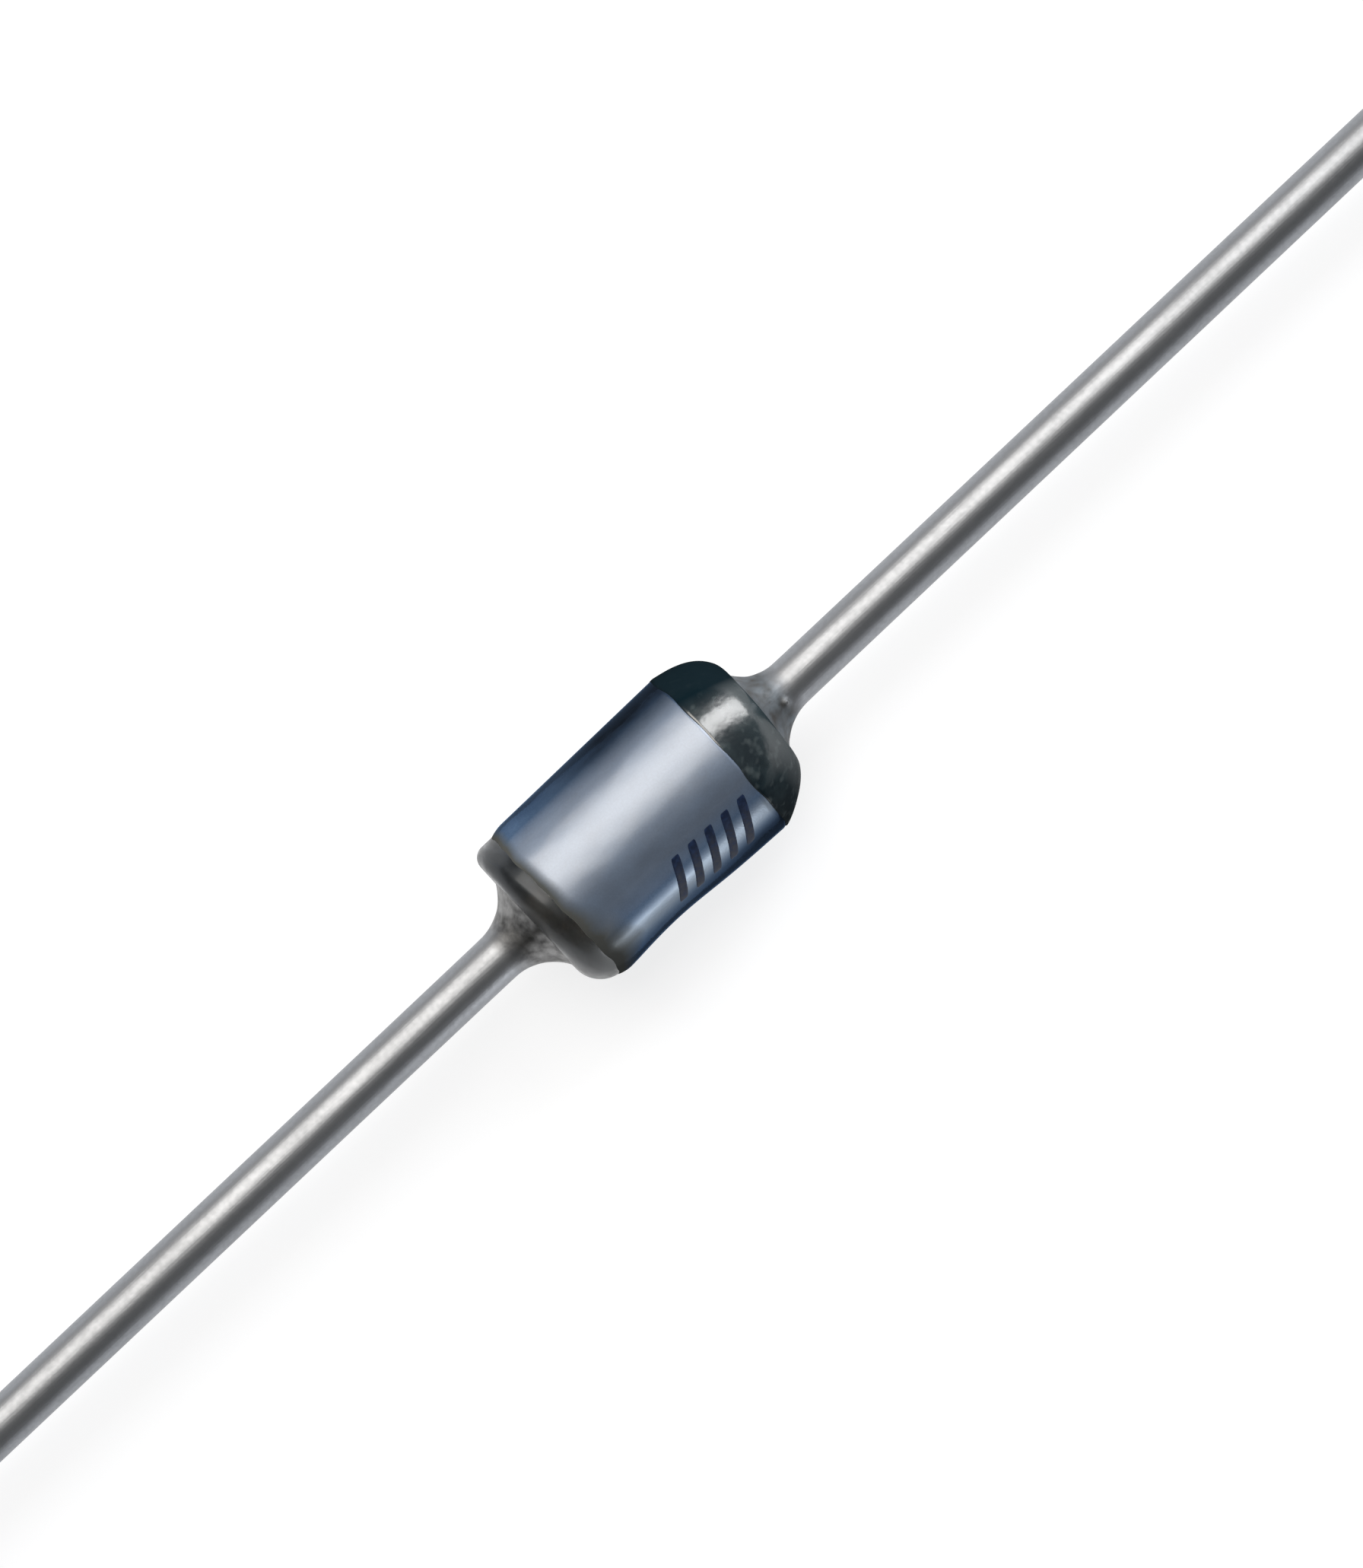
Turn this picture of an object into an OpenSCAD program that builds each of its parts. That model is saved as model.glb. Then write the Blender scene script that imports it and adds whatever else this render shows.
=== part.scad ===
// Zener diode in an axial glass package. A glass sleeve is sealed round two metal slugs, the
// silicon chip is held between their inner ends, and a wire is welded to each outer end.
// The axis lies along X with the cathode towards +X, and the origin is at the middle of the glass.
// All sizes are in millimetres.

/* [Glass sleeve] */
// Length of the glass sleeve, end to end
sleeve_len = 3.05; // [2.8:0.05:5]
// Outer diameter of the glass at the anode end
sleeve_d = 1.78; // [1.6:0.01:2.2]
// Growth of the glass radius from the lacquer's free edge to the start of the dome
sleeve_swell = 0.04; // [0:0.005:0.06]
// Rounding of the glass edge at the anode end
anode_edge_r = 0.25; // [0.05:0.01:0.28]
// Rounding of the domed glass at the cathode end
cathode_dome_r = 0.7; // [0.5:0.01:0.8]

/* [Lacquer] */
// Thickness of the metallic lacquer on the glass
lacquer_t = 0.03; // [0.02:0.005:0.06]
// Width of bare glass between the rounded anode edge and the lacquer
bare_rim = 0.02; // [0.01:0.01:0.3]

/* [Cathode band] */
// Thickness of the black paint that marks the cathode
band_t = 0.04; // [0.03:0.005:0.08]
// Length of the band along the axis, from the lacquer to the end of the glass
band_len = 0.65; // [0.4:0.01:1.2]
// Width of bare glass between the band and the cathode's weld bead
bare_seal = 0.05; // [0.02:0.01:0.15]

/* [Leads] */
// Diameter of the lead wire
lead_d = 0.5; // [0.4:0.01:0.6]
// Reach of each lead, from the end of the glass to its tip
lead_reach = 26; // [10:0.5:38]
// Rounding of the lead's cut tip
tip_r = 0.03; // [0.01:0.005:0.08]

/* [Weld beads] */
// Diameter of the anode's weld bead where it meets the glass
anode_bead_d = 1.2; // [0.9:0.01:1.25]
// Length of the anode's weld bead along the axis
anode_bead_len = 0.48; // [0.3:0.01:0.6]
// Diameter of the cathode's weld bead where it meets the glass
cathode_bead_d = 0.95; // [0.9:0.01:1.15]
// Length of the cathode's weld bead along the axis
cathode_bead_len = 0.36; // [0.3:0.01:0.6]

/* [Slugs and chip] */
// Diameter of the slugs, which is also the bore of the glass
slug_d = 0.84; // [0.7:0.01:0.88]
// Width of the square silicon chip
die_w = 0.42; // [0.3:0.01:0.48]
// Thickness of the silicon chip
die_t = 0.16; // [0.1:0.01:0.25]
// Diameter of the silver contact bump on the chip
bump_d = 0.24; // [0.15:0.01:0.3]
// Height of the silver contact bump
bump_h = 0.05; // [0.03:0.005:0.08]

/* [Hidden] */
$fn = 96;

// Colours
glass_colour = [0.62, 0.66, 0.65, 0.55];
lacquer_colour = [0.42, 0.48, 0.56];
band_colour = [0.05, 0.07, 0.09];
slug_colour = [0.34, 0.30, 0.27];
silicon_colour = [0.28, 0.29, 0.33];
silver_colour = [0.86, 0.86, 0.84];
bead_colour = [0.52, 0.53, 0.54];
tin_colour = [0.72, 0.72, 0.73];

// Radii of the glass, the bore, the wire and the beads
anode_r = sleeve_d / 2;
cathode_r = anode_r + sleeve_swell;
slug_r = slug_d / 2;
lead_r = lead_d / 2;
anode_bead_r = anode_bead_d / 2;
cathode_bead_r = cathode_bead_d / 2;

// Places along the axis
glass_end = sleeve_len / 2;
lacquer_start = -glass_end + anode_edge_r + bare_rim;
band_start = glass_end - band_len;
chip_stack = die_t + bump_h;
slug_len = (sleeve_len - chip_stack) / 2;

// Centres of the arcs that round the two ends of the glass, as [radius, place along the axis]
anode_edge_mid = [anode_r - anode_edge_r, -glass_end + anode_edge_r];
cathode_dome_mid = [cathode_r - cathode_dome_r, glass_end - cathode_dome_r];

// Turns a half section, drawn as [radius, place along the axis], round the X axis
module turned() {
    rotate([0, 90, 0]) rotate_extrude() children();
}

// Half section of the glass's outside, filled to the axis and grown outwards for a layer on it
module glass_outline(grow = 0) {
    polygon([
        [0, anode_edge_mid.y],
        [anode_r + grow, anode_edge_mid.y],
        [anode_r + grow, lacquer_start],
        [cathode_r + grow, cathode_dome_mid.y],
        [0, cathode_dome_mid.y]
    ]);
    translate([0, -glass_end - grow]) square([anode_edge_mid.x, anode_edge_r + grow]);
    translate(anode_edge_mid) circle(anode_edge_r + grow);
    translate([0, cathode_dome_mid.y]) square([cathode_dome_mid.x, cathode_dome_r + grow]);
    translate(cathode_dome_mid) circle(cathode_dome_r + grow);
}

// Half section of the glass with its bore taken out, so that nothing is left across the axis
module glass_section() {
    difference() {
        glass_outline();
        translate([-cathode_r, -sleeve_len]) square([cathode_r + slug_r, 2 * sleeve_len]);
    }
}

// Half section of a layer on the glass, outside inner_r and between two places along the axis
module layer_section(thickness, inner_r, from, to) {
    difference() {
        intersection() {
            glass_outline(thickness);
            translate([inner_r, from]) square([cathode_r + thickness - inner_r, to - from]);
        }
        glass_outline();
    }
}

// Half section of a weld bead, with a concave flank that runs into the wire without a step.
// Its foot reaches back over the rounded glass, and what the glass and the slug hold is taken out.
module bead_section(bead_r, bead_len, foot) {
    rise = bead_r - lead_r;
    flank_r = (bead_len * bead_len + rise * rise) / (2 * rise);
    difference() {
        translate([0, glass_end - foot]) square([bead_r, foot + bead_len]);
        translate([lead_r + flank_r, glass_end + bead_len]) circle(flank_r);
        translate([0, -glass_end]) square([slug_r, sleeve_len]);
        children();
    }
}

// Half section of a lead wire with a rounded tip, from its weld bead outwards
module lead_section(bead_len) {
    wire_len = lead_reach - bead_len;
    translate([0, glass_end + bead_len]) {
        square([lead_r, wire_len - tip_r]);
        square([lead_r - tip_r, wire_len]);
        translate([lead_r - tip_r, wire_len - tip_r]) circle(tip_r);
    }
}

module glass_sleeve() {
    color(glass_colour) turned() glass_section();
}

module body_lacquer() {
    color(lacquer_colour) turned() layer_section(lacquer_t, 0, lacquer_start, band_start);
}

// The black band covers the dome, and stops short of the weld bead
module cathode_band() {
    color(band_colour) turned()
        layer_section(band_t, cathode_bead_r + bare_seal, band_start, glass_end + band_t);
}

module anode_slug() {
    color(slug_colour) turned() translate([0, -glass_end]) square([slug_r, slug_len]);
}

module cathode_slug() {
    color(slug_colour) turned() translate([0, glass_end - slug_len]) square([slug_r, slug_len]);
}

// The chip lies with its back on the cathode's slug
module zener_die() {
    color(silicon_colour)
        translate([chip_stack / 2 - die_t, -die_w / 2, -die_w / 2]) cube([die_t, die_w, die_w]);
}

// The bump on the chip's front is round-edged, and meets the anode's slug with its flat top
module contact_bump() {
    edge_r = bump_h / 2;
    color(silver_colour) turned() translate([0, -chip_stack / 2]) {
        square([bump_d / 2 - edge_r, bump_h]);
        translate([0, edge_r]) square([bump_d / 2, bump_h - edge_r]);
        translate([bump_d / 2 - edge_r, edge_r]) circle(edge_r);
    }
}

module anode_weld_bead() {
    color(bead_colour) turned() mirror([0, 1])
        bead_section(anode_bead_r, anode_bead_len, anode_edge_r) mirror([0, 1]) glass_section();
}

module cathode_weld_bead() {
    color(bead_colour) turned()
        bead_section(cathode_bead_r, cathode_bead_len, cathode_dome_r) glass_section();
}

module anode_lead() {
    color(tin_colour) turned() mirror([0, 1]) lead_section(anode_bead_len);
}

module cathode_lead() {
    color(tin_colour) turned() lead_section(cathode_bead_len);
}

glass_sleeve();
body_lacquer();
cathode_band();
anode_slug();
cathode_slug();
zener_die();
contact_bump();
anode_weld_bead();
cathode_weld_bead();
anode_lead();
cathode_lead();
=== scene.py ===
"""Zener diode in an axial glass package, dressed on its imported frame.

Each piece is a half section carried round the X axis, where the leads run and the cathode lies
towards +X. An angle of 0 round the axis points up, along +Z, and a positive angle turns towards -Y,
which is the lower right of the picture. Lengths are in metres.
"""

import math
from functools import partialmethod

import bpy
import numpy as np
from bpy.props import FloatProperty, FloatVectorProperty, PointerProperty
from mathutils import Matrix, Vector


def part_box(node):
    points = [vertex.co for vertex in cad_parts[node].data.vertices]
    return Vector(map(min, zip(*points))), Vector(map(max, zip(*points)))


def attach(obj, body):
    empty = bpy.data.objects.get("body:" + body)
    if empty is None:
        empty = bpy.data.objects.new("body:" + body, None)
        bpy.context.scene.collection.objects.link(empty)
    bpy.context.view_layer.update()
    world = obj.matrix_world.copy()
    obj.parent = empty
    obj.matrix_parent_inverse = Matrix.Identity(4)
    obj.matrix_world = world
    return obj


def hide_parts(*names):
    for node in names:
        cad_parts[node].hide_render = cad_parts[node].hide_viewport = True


bl_info = {
    "name": "Axial Glass Zener Diode",
    "version": (1, 0, 0),
    "blender": (4, 5, 0),
    "location": "View3D > Sidebar > Diode",
    "description": "Dresses a packed zener diode with glass, lacquer, paint and tinned wire",
    "category": "Add Mesh",
}

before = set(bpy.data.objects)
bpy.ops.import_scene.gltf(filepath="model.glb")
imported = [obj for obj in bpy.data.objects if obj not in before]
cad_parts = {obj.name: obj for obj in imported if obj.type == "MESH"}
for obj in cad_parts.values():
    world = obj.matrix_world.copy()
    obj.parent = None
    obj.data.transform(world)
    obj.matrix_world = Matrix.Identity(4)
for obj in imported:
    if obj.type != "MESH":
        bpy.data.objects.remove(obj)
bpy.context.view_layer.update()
BODY = "root"
MM = 0.001
FULL_TURN = 2.0 * math.pi
RIGHT_ANGLE = 0.5 * math.pi


def reach(node):
    """First and last place along X and the largest radius of a CAD node."""
    low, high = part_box(node)
    return low.x, high.x, max(high.y, high.z)


GLASS_START, GLASS_END, CATHODE_R = reach("glass_sleeve")
LACQUER_START, BAND_START, LACQUER_R = reach("body_lacquer")
BAND_R = reach("cathode_band")[2]
SLUG_R = reach("anode_slug")[2]
LEAD_R = reach("anode_lead")[2]
BUMP_START, BUMP_END, BUMP_R = reach("contact_bump")

# Fixed values of the shapes

# How far a layer or a sealed piece bites into the glass, so that no two surfaces lie in one place
BITE = 0.003 * MM
# Radius of the last ring round a closed end's pole, as a share of the end's, and the leads' own
POLE_RING, LEAD_POLE_RING = 0.1, 0.2
# Leads: their reach into the beads, the stretch over which they come to wander, and the lengths in which
# the waves of that turn by a radian
LEAD_SUNK, WANDER_START = 0.12 * MM, 2.0 * MM
WANDER_WAVES = (3.1 * MM, 1.3 * MM, 4.0 * MM)
# Drop of tin: its place past the glass, its angle in degrees, and its height as a share of its width
DROP_RISE, DROP_TURN, DROP_HEIGHT = 0.205 * MM, 26.0, 0.85
# Dome: its length as a share of its rounding, the share of its fall that is an even slope, what the low
# side adds to that, and the power of its round end
DOME_RUN, DOME_SLOPE, DOME_SLOPE_LOW, DOME_POWER = 0.82, 0.25, 0.07, 3.2
# Low side of the glass: places along X and widths of its waist and of its swell by the anode
WAIST_X, WAIST_WIDTH = -0.4 * MM, 0.5 * MM
SWELL_X, SWELL_WIDTH = -1.25 * MM, 0.35 * MM
# Shares of the anode edge's rounding: the even one, and the one that the angle's sine brings
EDGE_EVEN, EDGE_LOW = 0.915, 0.365
# Droop of the lacquer's free edge: its angle in degrees, and how far round it goes, in radians
DROOP_TURN, DROOP_SPREAD = 52.0, 0.6
# Thin look of that edge, in widths of its feather: all round, and more where it droops
THIN_EVEN, THIN_DROOP = 0.8, 2.2
# How far the lacquer reaches under the band
LACQUER_LAP = 0.03 * MM
# Band: widths of its rounded edges at the lacquer and at the bead, place and width of its sag along its
# own path, and the turn of its lumps along X, in radians a metre
BAND_EDGE, SEAL_EDGE = 0.035 * MM, 0.12 * MM
SAG_PLACE, SAG_WIDTH = 0.1 * MM, 0.17 * MM
LUMP_TWIST = 900.0
# Printed bars: how many, the places of the first and the last along X, and their angle in degrees
BAR_COUNT, BAR_PLACES, BAR_TURN = 5, (-0.22 * MM, 0.62 * MM), 48.0
# Powers that bend a circle's sines to a bar's square outline and to its flat top
BAR_SQUARE, BAR_FLAT = 0.25, 0.6

# Spans over which a look comes in. A name that ends in an axis holds places along that, and far is
# towards +Y and near towards -Y

# Lacquer: its streaks of painted shade, both edges of the streak of painted highlight, and its matt side
SHADE_STREAK_Z = (0.0, 0.4 * MM)
FAR_SHADE_X, FAR_SHADE_Y = (-1.0 * MM, 0.1 * MM), (0.47 * MM, 0.76 * MM)
NEAR_SHADE_X, NEAR_SHADE_Y = (-1.0 * MM, 0.9 * MM), (-0.80 * MM, -0.91 * MM)
HIGHLIGHT_UPPER_Y, HIGHLIGHT_LOWER_Y = (-0.60 * MM, -0.71 * MM), (-0.90 * MM, -0.78 * MM)
MATT_Y = (-0.42 * MM, -0.62 * MM)
# Band: its dull flanks, the far one moving with a share of X and painted darker as shade, and its end
# painted lighter as light
FAR_FLANK_SHADE_Y, FAR_FLANK_SHADE_LEAN = (0.66 * MM, 0.82 * MM), 0.28
NEAR_FLANK_X, NEAR_FLANK_Y = (1.15 * MM, 1.40 * MM), (-0.35 * MM, -0.62 * MM)
PAINTED_LIGHT_X = (1.10 * MM, 1.45 * MM)
# Glass: its painted shade, darker towards +Y
GLASS_SHADE_Y = (-0.2 * MM, 0.6 * MM)
# Painted shade on the anode's bead: its top, the middle of its streak, and the distances over which that
# fades
BEAD_SHADE_Z, BEAD_SHADE_MIDDLE_Y = (0.0, 0.1 * MM), -0.09 * MM
BEAD_SHADE_FADE = (0.01 * MM, 0.09 * MM)
# Leads: how far behind their tips the cut shows, and the shares of their radius where copper begins
CUT_BEHIND, CLAD_SHARE = (0.004 * MM, 0.001 * MM), (0.74, 0.78)
# Chip: how far behind its back face the silver shows
PLATED_BEHIND = (0.006 * MM, 0.004 * MM)

# Fixed values of the stage

# The picture's width and height in pixels, how many of them a millimetre takes, and the pixel at which
# the middle of the glass lies
PICTURE = (1792, 2061)
PIXELS_PER_MM = 136.0
MIDDLE_PIXEL = (853.3, 1072.3)
# Width of the camera's sensor in millimetres
SENSOR_WIDTH = 36.0
# Main softbox: its size and its warm tint
KEY_SIZE, KEY_TINT = (0.075, 0.096), (1.0, 0.94, 0.855)
# Softbox off the cathode end: its size, its direction and that of its top
END_SIZE = (0.034, 0.105)
END_BACK = Vector((0.815, 0.335, 0.455)).normalized()
END_TOP = Vector((-0.521, 0.280, 0.799))
# Distance of these two, and the size and the place of the small softbox beside the body
SOFTBOX_AWAY = 0.1
EDGE_SIZE, EDGE_PLACE = (2.4 * MM, 1.1 * MM), Vector((-0.7 * MM, -12.0 * MM, -0.35 * MM))
UPRIGHT = Vector((0.0, 0.0, 1.0))
# Floor: radii of its first two rings, of its flat and of its end
FLOOR_HUB, FLOOR_START, FLOOR_FLAT, FLOOR_END = 0.002, 0.01, 0.25, 0.6


def length(name, description, default):
    """A length property with enough digits for hundredths of a millimetre."""
    return FloatProperty(
        name=name, description=description, default=default, min=0.0, unit="LENGTH", precision=6
    )


def colour(name, description, default):
    """A linear colour property."""
    return FloatVectorProperty(
        name=name,
        description=description,
        default=(*default, 1.0),
        size=4,
        min=0.0,
        max=1.0,
        subtype="COLOR",
    )


def turning(name, description, degrees):
    """An angle property whose default is given in degrees."""
    default = math.radians(degrees)
    return FloatProperty(name=name, description=description, default=default, subtype="ANGLE")


def level(name, description, default):
    """A brightness property, where 1 is white."""
    return FloatProperty(name=name, description=description, default=default, min=0.0)


class DiodeSizes(bpy.types.PropertyGroup):
    """Sizes of the dressed pieces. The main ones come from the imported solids."""

    anode_r: length("Anode radius", "Radius of the glass at the anode end", CATHODE_R - 0.04 * MM)
    anode_edge: length("Anode edge", "Rounding of the glass edge at the anode end", 0.25 * MM)
    cathode_dome: length("Cathode dome", "Rounding of the domed glass at the cathode end", 0.7 * MM)
    end_tilt: length("End tilt", "How much nearer the middle the dome lies on its low side", 0.05 * MM)
    glass_sag: length("Glass sag", "How far the glass by the dome stands out on its low side", 0.022 * MM)
    waist: length("Waist", "How far the glass draws in on its low side", 0.03 * MM)
    anode_swell: length("Anode swell", "How far the anode's end swells on its low side", 0.025 * MM)
    lacquer_depth: length("Lacquer depth", "Thickness of the metallic lacquer", LACQUER_R - CATHODE_R)
    lacquer_feather: length("Lacquer feather", "Width over which the lacquer's edge thins out", 0.16 * MM)
    lacquer_droop: length("Lacquer droop", "How far the lacquer's edge draws back low down", 0.02 * MM)
    edge_wander: length("Edge wander", "How far the painted edges wander from a true ring", 0.02 * MM)
    band_depth: length("Band depth", "Thickness of the black paint", BAND_R - CATHODE_R)
    band_sag: length("Band sag", "Extra depth of the black paint on its low side", 0.014 * MM)
    band_lumps: length("Band lumps", "Height of the soft lumps in the black paint", 0.005 * MM)
    bare_seal: length("Bare seal", "Width of bare glass between the band and the weld bead", 0.05 * MM)
    bead_lumps: length("Bead lumps", "Height of the soft lumps on the weld beads", 0.012 * MM)
    bead_sheath: length("Bead sheath", "Length over which the weld beads thin out on the wire", 0.3 * MM)
    tin_drop: length("Tin drop", "Width of the drop of bright tin on the cathode's weld bead", 0.04 * MM)
    tip_round: length("Tip rounding", "Rounding of the leads' cut tips", 0.03 * MM)
    wire_wander: length("Wire wander", "How far the wire's radius wanders along its length", 0.002 * MM)
    ink_depth: length("Ink depth", "Thickness of the printed bars", 0.006 * MM)
    ink_width: length("Ink width", "Width of the printed bars, along the body", 0.1 * MM)
    ink_height: length("Ink height", "Height of the printed bars, round the body", 0.56 * MM)
    ink_slant: length("Ink slant", "How far the top of a bar leans towards the cathode", 0.2 * MM)


class DiodeColours(bpy.types.PropertyGroup):
    """Colours of the dressed pieces."""

    glass: colour("Glass", "Tint of the bare glass", (0.44, 0.45, 0.43))
    # Painted shade: the darker tint of the glass towards +Y
    glass_painted_shade: colour("Glass, smoky", "Tint of the glass where it is smoky", (0.022, 0.028, 0.040))
    lacquer: colour("Lacquer", "Metallic lacquer where its flakes lie flat", (0.115, 0.180, 0.290))
    lacquer_deep: colour("Lacquer, deep", "Metallic lacquer between its flakes", (0.068, 0.112, 0.190))
    # Painted shade: the dark lacquer of the streaks down both flanks
    lacquer_painted_shade: colour("Lacquer, dark", "Metallic lacquer where it ran together", (0.018, 0.026, 0.040))
    # Painted highlight: the lighter, greyer lacquer of the streak towards -Y
    lacquer_painted_highlight: colour("Lacquer, bare", "Flakes that lie bare on the lacquer", (0.170, 0.205, 0.250))
    lacquer_thin: colour("Lacquer, thin", "Lacquer where it thins out", (0.085, 0.090, 0.088))
    band: colour("Band", "Black paint of the cathode band", (0.003, 0.010, 0.015))
    # Also painted light: the same lighter paint spreads over the end by the bead
    band_thin_and_painted_light: colour("Band bloom", "Thin places in the black paint", (0.022, 0.038, 0.045))
    band_fleck: colour("Band fleck", "Pale flecks in the black paint", (0.13, 0.16, 0.17))
    tin: colour("Tin", "Bright tin on the leads", (0.308, 0.322, 0.346))
    tin_dull: colour("Tin, dull", "Dull patches in the tin on the leads", (0.276, 0.288, 0.308))
    weld: colour("Weld", "Tin over the weld bead by the bare glass", (0.30, 0.30, 0.30))
    # Painted shade: a darker, bluer copy of the weld tin, for the cathode's bead
    weld_shaded: colour("Weld, blue", "Tin over the weld bead by the black band", (0.15, 0.17, 0.19))
    # Painted shade: the darker tin in the hollows between the weld beads' lumps
    weld_hollow_shade: colour("Weld, dark", "Hollows between the lumps of the weld beads", (0.08, 0.08, 0.08))
    # Painted shade: the dark streak on the anode's weld bead
    bead_shade: colour("Soot", "Soot on the weld bead by the bare glass", (0.02, 0.02, 0.018))
    copper: colour("Copper", "Copper cladding in the leads' cut ends", (0.62, 0.27, 0.16))
    steel: colour("Steel", "Steel core in the leads' cut ends", (0.42, 0.42, 0.43))
    slug: colour("Slug", "Copper cladding of the sealed slugs", (0.22, 0.15, 0.11))
    slug_oxide: colour("Slug oxide", "Dark oxide on the sealed slugs", (0.120, 0.120, 0.115))
    silicon: colour("Silicon", "Polished sides of the chip", (0.10, 0.11, 0.13))
    silicon_sawn: colour("Silicon, sawn", "Dark saw lines in the chip's sides", (0.03, 0.03, 0.035))
    silver: colour("Silver", "Plated silver of the contact bump", (0.85, 0.84, 0.80))
    ink: colour("Ink", "Dark blue ink of the printed bars", (0.006, 0.014, 0.040))
    floor: colour("Floor", "Pale studio floor", (0.250, 0.260, 0.278))


class StudioSettings(bpy.types.PropertyGroup):
    """Light and camera of the stage."""

    lens: FloatProperty(
        name="Lens", description="Focal length of the camera", default=120.0, min=1.0, unit="CAMERA"
    )
    axis_turn: turning("Axis turn", "Angle of the diode's axis in the picture, above the level", 43.35)
    lean: turning("Lean", "Lean of the view away from straight down", 4.0)
    key_slope: turning("Key slope", "Angle of the main softbox from straight up", 31.0)
    key_radiance: level("Key radiance", "Brightness of the main softbox", 4.7)
    end_radiance: level("End radiance", "Brightness of the softbox off the cathode end", 7.5)
    edge_radiance: level("Edge radiance", "Brightness of the small softbox low beside the body", 16.0)
    room_level: level("Room level", "Brightness of the dim room", 0.14)
    floor_glow: level("Floor glow", "White that the floor shows of itself, beside the light on it", 0.80)


# Sections: points of [place along X, radius], with a row for each ring and a column for each angle


def arc(centre_x, centre_r, radius, start, end, count):
    """Part of a circle: its centre plus the radius times the cosine and sine of an even run of angles."""
    angle = np.linspace(start, end, count)
    return np.column_stack((centre_x + radius * np.cos(angle), centre_r + radius * np.sin(angle)))


def line(start, end, count):
    """Points at even steps from one point to another."""
    return np.linspace(start, end, count)


def joined(*parts):
    """One profile from several, without the points that two neighbours share."""
    points = np.concatenate(parts)
    step = np.linalg.norm(np.diff(points, axis=0), axis=1)
    return points[np.concatenate(([True], step > 1e-9))]


def mirrored(section):
    """The same section for the other end of the diode, in reverse order, which keeps its outside."""
    return section[::-1] * (-1.0, 1.0)


def waves(angle, counts, phases):
    """Mean of sines that close after one turn, each with its own count of waves and its own phase."""
    return np.mean([np.sin(c * angle + p) for c, p in zip(counts, phases)], axis=0)


def bell(distance, width):
    """Bell curve: the exponential of minus the square of the distance in widths."""
    return np.exp(-((distance / width) ** 2))


def turn_angles(turns):
    """Even angles round one full turn, as a row, without the one that closes it."""
    return np.linspace(0.0, FULL_TURN, turns, endpoint=False)[None, :]


def turned_past(angle, degrees):
    """How far each angle has turned past a given one, which is in degrees, by half a turn at most."""
    return np.mod(angle - math.radians(degrees) + math.pi, FULL_TURN) - math.pi


def crowded_shares(count):
    """Shares from 0 to 1 that crowd towards 1, as sines do, so that rings stay even down the dome."""
    share = np.sin(np.linspace(0.0, 0.9 * RIGHT_ANGLE, count))[:, None]
    return share / share[-1]


def section_of(x, radius, angle):
    """Joins places along X and radii, spread over all angles, into one section."""
    return np.stack(np.broadcast_arrays(x, radius, angle)[:2], axis=-1)


def rings(section, angle):
    """Carries a section round the X axis.

    X stays, and the radius times the angle's sine and cosine gives -Y and Z.
    """
    x, radius = section[..., 0], section[..., 1]
    return np.stack((x, -radius * np.sin(angle), radius * np.cos(angle)), axis=-1)


def ring_faces(count, turns, looped):
    """Four-sided faces between neighbouring rings, closed round the turn, and if looped, to the first."""
    ring = np.arange(count if looped else count - 1)[:, None]
    turn = np.arange(turns)[None, :]
    after = (turn + 1) % turns
    here, ahead = ring * turns, (ring + 1) % count * turns
    return np.stack((here + turn, here + after, ahead + after, ahead + turn), axis=-1).reshape(-1, 4)


def loop_mesh(points):
    """Vertices and faces of a ring of rings, as a tube's wall: the last ring meets the first."""
    count, turns = points.shape[:2]
    return points.reshape(-1, 3), ring_faces(count, turns, looped=True).tolist()


def solid_mesh(points, poles=None, first=0):
    """Vertices and faces of rings that a pole closes at each end.

    A pole lies at the middle of its end ring unless given. The faces count the vertices from the given
    first number.
    """
    count, turns = points.shape[:2]
    turn = np.arange(turns)
    after = (turn + 1) % turns
    last = (count - 1) * turns
    first_pole = np.full(turns, count * turns)
    start_cap = np.stack((first_pole, after, turn), axis=-1)
    end_cap = np.stack((last + turn, last + after, first_pole + 1), axis=-1)
    if poles is None:
        poles = points[[0, -1]].mean(axis=1)
    parts = (ring_faces(count, turns, looped=False), start_cap, end_cap)
    faces = [(part + first).tolist() for part in parts]
    return np.concatenate((points.reshape(-1, 3), poles)), sum(faces, [])


def add_object(name, vertices, faces, finish):
    """A smooth mesh object at the origin, linked to the scene."""
    mesh = bpy.data.meshes.new(name)
    mesh.from_pydata(vertices.tolist(), [], faces)
    mesh.polygons.foreach_set("use_smooth", np.ones(len(mesh.polygons), dtype=bool))
    mesh.materials.append(finish)
    mesh.update()
    made = bpy.data.objects.new(name, mesh)
    bpy.context.scene.collection.objects.link(made)
    return made


def add_piece(name, vertices, faces, finish, slot=None, stands_for=()):
    """A mesh object that rides on the diode, and stands for the CAD nodes it replaces."""
    piece = add_object(name, vertices, faces, finish)
    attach(piece, BODY)
    if stands_for:
        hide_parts(*stands_for)
    return piece


def set_point_values(piece, name, values):
    """Keeps a number for each vertex, which a finish reads by its name."""
    attribute = piece.data.attributes.new(name, "FLOAT", "POINT")
    attribute.data.foreach_set("value", np.ascontiguousarray(values, dtype=np.float32).ravel())


# Shapes that several pieces share


def low_side(angle):
    """Share from 0 to 1 of the body's low side, towards -Y: the sine's square where it is positive."""
    return np.clip(np.sin(angle), 0.0, 1.0) ** 2


def cathode_end(sizes, angle):
    """End, length and height of the dome at the cathode end, at each angle.

    With the angle's sine, the low side lies nearer the middle and stands out farther.
    """
    end = GLASS_END - sizes.end_tilt * (0.5 + 0.5 * np.sin(angle))
    return end, DOME_RUN * sizes.cathode_dome, sizes.cathode_dome + sizes.glass_sag * np.sin(angle)


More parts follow.
